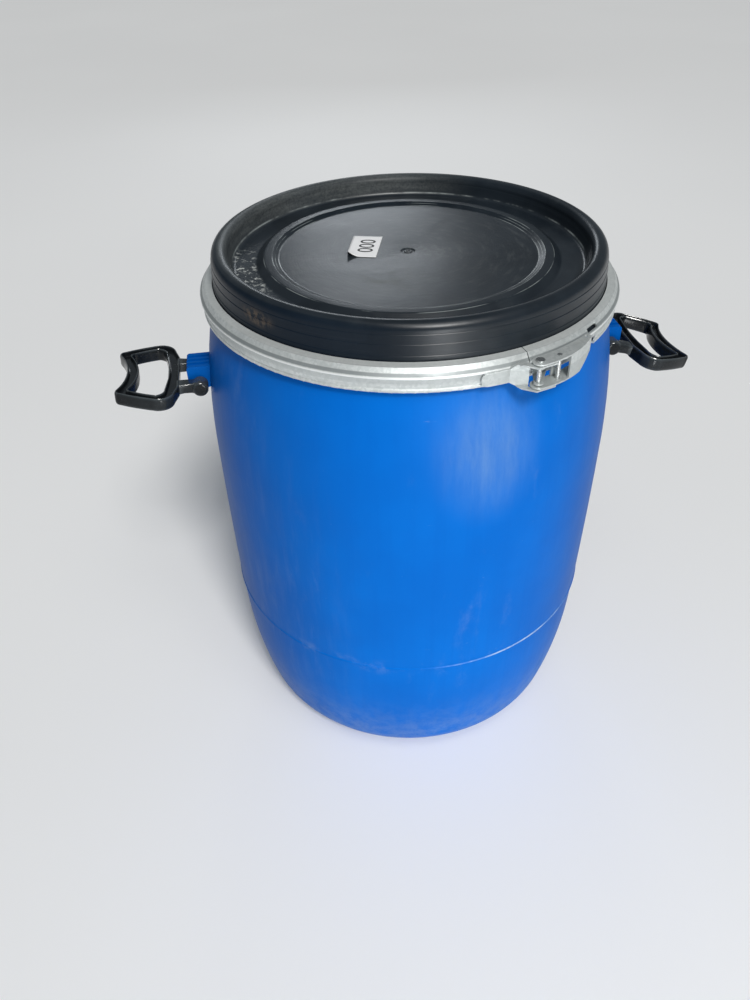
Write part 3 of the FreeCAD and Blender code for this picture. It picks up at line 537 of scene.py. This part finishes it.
def make_lid(material):
    """The lid with its fat rolled bead, ledged wall, trough, raised ring, panel and gate."""
    floor, ring, flange, top = 0.5200, 0.5256, 0.5056, 0.5392
    foot, ledge, edge = 0.1815, 0.00043, 0.0002
    bead, inner_bead = 0.0076, 0.0046
    under = 0.003
    gate = [
        (0.0, PANEL_Z - 0.0012), (0.0013, PANEL_Z - 0.0012, 0.0003),
        (0.0019, PANEL_Z - 0.0002, 0.0004), (0.0033, PANEL_Z - 0.0002, 0.0005),
        (0.0040, PANEL_Z - 0.0010, 0.0004), (0.0056, PANEL_Z - 0.0010, 0.0008),
        (0.0068, PANEL_Z, 0.0010),
    ]
    face = [
        (0.1193, PANEL_Z, 0.004), (0.1254, ring, 0.0012), (0.1328, ring, 0.0024),
        (0.1402, floor, 0.0036), (0.1618, floor, 0.0042), (0.1650, top - bead),
        (0.1650, top, bead), (foot - ledge * 3, top, bead),
    ]
    wall = []
    for count, height in ((3, 0.5297), (2, 0.5216), (1, 0.5121)):
        wall += [(foot - ledge * count, height + edge * 3, edge),
                 (foot - ledge * (count - 1), height, edge)]
    skirt = [
        (foot, flange, 0.0008), (0.1868, flange, 0.0012), (0.1902, 0.5008, 0.0012),
        (0.1902, 0.4915, 0.0006), (0.1881, 0.4915, 0.0004), (0.1881, flange - under, 0.0006),
        (0.1764, flange - under, 0.0006), (0.1764, 0.4885, 0.0006), (0.1740, 0.4885, 0.0006),
        (0.1740, flange, 0.0006),
    ]
    underside = [
        (0.1772, flange + under, 0.0006), (0.1772, top - under, inner_bead),
        (0.1680, top - under, inner_bead), (0.1664, floor + under, 0.0010),
        (0.1600, floor - under, 0.0020), (0.1390, floor - under, 0.0020),
        (0.1330, ring - under, 0.0020), (0.1256, ring - under, 0.0020),
        (0.1195, PANEL_Z - under, 0.004), (0.0, PANEL_Z - under),
    ]
    outline = rounded(gate + face + wall + skirt + underside)
    mesh = bmesh.new()
    turned(mesh, outline)
    piece = add("lid_shell", finished("lid_shell", mesh), material, "lid_assembly")
    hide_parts("lid")


def make_label(material, print_material):
    """The lot label, with one corner lifting, and generic digits along it."""
    width, height, thick, above_panel = 0.028, 0.050, 0.0002, 0.00022
    lifted, rise = 0.013, Vector((0.0016, 0.0022, 0.0042))
    letter, stroke, ink_depth = 0.0205, 0.00008, 0.00003
    place = (Matrix.Translation((-0.038, 0.018, PANEL_Z + above_panel))
             @ Matrix.Rotation(math.radians(-16.5), 4, "Z"))
    columns, rows = 14, 25
    mesh = bmesh.new()
    grid = []
    for row in range(rows + 1):
        line = []
        for column in range(columns + 1):
            x, y = width * (column / columns - 0.5), height * (row / rows - 0.5)
            corner = Vector((x + width / 2, y + height / 2)).length
            lift = max(0.0, 1 - corner / lifted) ** 1.7
            line.append(mesh.verts.new(place @ (Vector((x, y, 0)) + rise * lift)))
        grid.append(line)
    for row in range(rows):
        for column in range(columns):
            mesh.faces.new([grid[row][column], grid[row][column + 1],
                            grid[row + 1][column + 1], grid[row + 1][column]])
    piece = add("label_sheet", finished("label_sheet", mesh), material, "lid_assembly")
    solid = piece.modifiers.new("thickness", "SOLIDIFY")
    solid.thickness = thick
    solid.offset = 1
    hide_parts("lot_label")

    text = bpy.data.curves.new("digits", "FONT")
    text.body = "000"
    text.size = letter
    text.align_x = "CENTER"
    text.align_y = "CENTER"
    text.extrude = ink_depth
    text.offset = stroke
    source = bpy.data.objects.new("digits_source", text)
    bpy.context.scene.collection.objects.link(source)
    graph = bpy.context.evaluated_depsgraph_get()
    printed = bpy.data.meshes.new_from_object(source.evaluated_get(graph))
    bpy.data.objects.remove(source)
    printed.name = "label_digits"
    on_paper = Matrix.Translation((0.001, 0.001, thick + 0.00004))
    along = Matrix.Rotation(math.radians(-90), 4, "Z")
    printed.transform(place @ on_paper @ along)
    add("label_digits", printed, print_material, "lid_assembly")


# ---------------------------------------------------------------- handles

# Where each handle's hinge crosses the plane of the handles, in metres.
HINGE_RAD = 0.2062
HINGE_Z = 0.4144
# A hub's outline, from its inner face to its domed end: radius and distance from the plane of
# the handles, in millimetres.
HUB = [
    (0.0, 4.0), (5.0, 4.0), (5.0, 14.9), (7.0, 15.0), (7.5, 15.5), (7.5, 26.8), (7.2, 27.7),
    (6.4, 28.4), (5.0, 28.8), (3.0, 28.95), (0.0, 29.0),
]
# An arm's sections from its hub to the loop: reach, lower and upper face, and width.
ARM = [(1.0, -6.6, 6.6, 11.0), (8.0, -5.2, 5.2, 10.6), (15.0, -5.0, 5.0, 11.2),
       (22.0, -5.8, 4.6, 13.0)]
ARM_INSIDE, ARM_FILLET = 15.4, 1.8


def loop_line(half, steps=12):
    """The closed outline of a handle loop, in millimetres, from its half on +Y. Each corner is
    (reach, half width, bend), and bend is the radius of the arc that arrives at it."""
    other = []
    for i in range(len(half) - 1, -1, -1):
        bend = half[i + 1][2] if i + 1 < len(half) else 0
        other.append((half[i][0], -half[i][1], bend))
    corners = half + other
    points = []
    for before, (x, y, bend) in zip(corners[-1:] + corners, corners):
        points += bowed(Vector(before[:2]), Vector((x, y)), bend, steps)
    return points


def loop_section(outer, inner):
    """The bar's section between its outer and inner line: a rounded lip along each edge, above
    and below, with a shallow channel between them."""
    lip = [(3.1, 1.5), (2.7, 2.3), (2.3, 4.8), (1.7, 5.65), (1.1, 5.75), (0.4, 4.9), (0.0, 3.3)]
    top, bottom = 1.0, 1.24
    across = (inner - outer).normalized()
    ring = []
    for edge, way in ((outer, across), (inner, -across)):
        upper = [(edge + way * inset, height * top) for inset, height in lip]
        lower = [(edge + way * inset, -height * bottom) for inset, height in reversed(lip)]
        side = upper + lower
        ring += side if edge is outer else side[::-1]
    return [Vector((flat.x, flat.y, height)) for flat, height in ring]


def make_handle(name, body, material, azimuth, tilt):
    """A swing handle: the D loop, two arms and the hubs that turn on the lug, in millimetres
    from its hinge and then put in place. tilt is how far it hangs from level, in degrees."""
    side, end = 53.6, 78.2
    outer = loop_line([
        (end, 34.6, -75), (end - 2.8, 39.8, 4), (40, side, 160), (23.4, side - 12.6, 15),
        (19.6, 28, 0),
    ])
    inner = loop_line([
        (end - 12.6, 31, -67), (end - 15.2, 36, 3.5), (41, side - 9.4, 170),
        (33.6, side - 19, 9), (30.6, 14, 0),
    ])
    mesh = bmesh.new()
    skin(mesh, [loop_section(*pair) for pair in zip(outer, inner)], joined=True)
    for hand in (-1, 1):
        turned(mesh, HUB, 48, Matrix.Rotation(math.radians(-90 * hand), 4, "X"))
        arm = []
        for reach, low, high, wide in ARM:
            near, far = ARM_INSIDE * hand, (ARM_INSIDE + wide) * hand
            corners = [(near, low), (far, low), (far, high), (near, high)]
            edge = rounded([(*corner, ARM_FILLET) for corner in corners], 4)
            arm.append([Vector((reach, y, z)) for y, z in edge])
        skin(mesh, arm)
    place = (Matrix.Rotation(math.radians(azimuth), 4, "Z")
             @ Matrix.Translation((HINGE_RAD, 0.0, HINGE_Z))
             @ Matrix.Rotation(math.radians(-tilt), 4, "Y") @ Matrix.Scale(0.001, 4))
    bmesh.ops.transform(mesh, matrix=place, verts=mesh.verts)
    piece = add(name + "_moulding", finished(name + "_moulding", mesh, 42), material, body)
    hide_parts(name)


# ---------------------------------------------------------------- whole drum

steel = galvanised()
pin_steel = plated_pin()
lid_black = black_lid()
handle_black = black_handle()
label_paper = paper()
for name, material in (
    ("drum_body", blue_shell()), ("lid", lid_black), ("lid_gasket", foam()),
    ("clamp_band", steel), ("tension_strap", steel), ("fulcrum_bracket", steel),
    ("clamp_lever", steel), ("fulcrum_pin", pin_steel), ("hook_pin", pin_steel),
    ("handle_left", handle_black), ("handle_right", handle_black), ("lot_label", label_paper),
):
    paint(nodes[name], material)
make_lid(lid_black)
make_label(label_paper, ink())
make_handle("handle_right", "right_handle", handle_black, 0, -12.6)
make_handle("handle_left", "left_handle", handle_black, 180, 4.7)
for name in ("clamp_lever", "tension_strap", "fulcrum_bracket"):
    soften(nodes[name], 0.0003)
for name in ("fulcrum_pin", "hook_pin"):
    soften(nodes[name], 0.0004, 3)


# ---------------------------------------------------------------- studio

def make_floor():
    """A wide square just under the drum's foot."""
    mesh = bpy.data.meshes.new("studio_floor")
    half, z = 40.0, -0.0002
    corners = [(-half, -half, z), (half, -half, z), (half, half, z), (-half, half, z)]
    mesh.from_pydata(corners, [], [(0, 1, 2, 3)])
    floor = bpy.data.objects.new("studio_floor", mesh)
    bpy.context.scene.collection.objects.link(floor)
    paint(floor, pale_floor())


def make_camera():
    """Above the front, looking 38 degrees down, a little to the left of the latch."""
    eye, turn, down, roll = (-0.1439, -0.7471, 0.8322), -8.137, 38.416, -1.523
    data = bpy.data.cameras.new("camera")
    data.sensor_width = 36.0
    data.lens = 30.6
    camera = bpy.data.objects.new("camera", data)
    camera.matrix_world = (
        Matrix.Translation(eye)
        @ Matrix.Rotation(math.radians(turn), 4, "Z")
        @ Matrix.Rotation(math.radians(90 - down), 4, "X")
        @ Matrix.Rotation(math.radians(roll), 4, "Z")
    )
    bpy.context.scene.collection.objects.link(camera)
    bpy.context.scene.camera = camera


def make_light(name, kind, azimuth, height, distance, power, colour, **shape):
    """A light round the drum: azimuth 0 is towards the front and turns to the right, and
    height is the angle above level. shape holds the light's own settings."""
    data = bpy.data.lights.new(name, kind)
    data.energy = power
    data.color = colour
    for key, value in shape.items():
        setattr(data, key, value)
    light = bpy.data.objects.new(name, data)
    turn, rise = math.radians(azimuth), math.radians(height)
    way = Vector((math.sin(turn) * math.cos(rise), -math.cos(turn) * math.cos(rise),
                  math.sin(rise)))
    middle = Vector((0, 0, 0.35))
    light.location = middle + way * distance
    light.rotation_euler = way.to_track_quat("Z", "Y").to_euler()
    bpy.context.scene.collection.objects.link(light)


def make_studio():
    """A pale sky, a soft sun from the front right and three softboxes."""
    world = bpy.data.worlds.new("studio")
    world.use_nodes = True
    sky = world.node_tree.nodes["Background"]
    sky.inputs["Color"].default_value = (0.80, 0.91, 1.0, 1.0)
    sky.inputs["Strength"].default_value = 0.16
    bpy.context.scene.world = world
    make_light("key", "SUN", azimuth=9, height=47, distance=3.0, power=2.15,
               colour=(1.0, 0.985, 0.96), angle=math.radians(15))
    make_light("softbox_front", "AREA", azimuth=6, height=-5, distance=1.35, power=4.6,
               colour=(0.97, 0.99, 1.0), shape="RECTANGLE", size=0.26, size_y=0.5)
    make_light("softbox_top", "AREA", azimuth=8, height=62, distance=2.2, power=9,
               colour=(1.0, 0.99, 0.97), shape="RECTANGLE", size=1.0, size_y=0.8)
    make_light("softbox_back", "AREA", azimuth=173, height=20, distance=2.8, power=3.6,
               colour=(0.88, 0.94, 1.0), shape="RECTANGLE", size=0.5, size_y=0.3)
    bpy.context.scene.view_settings.view_transform = "Standard"


make_floor()
make_camera()
make_studio()
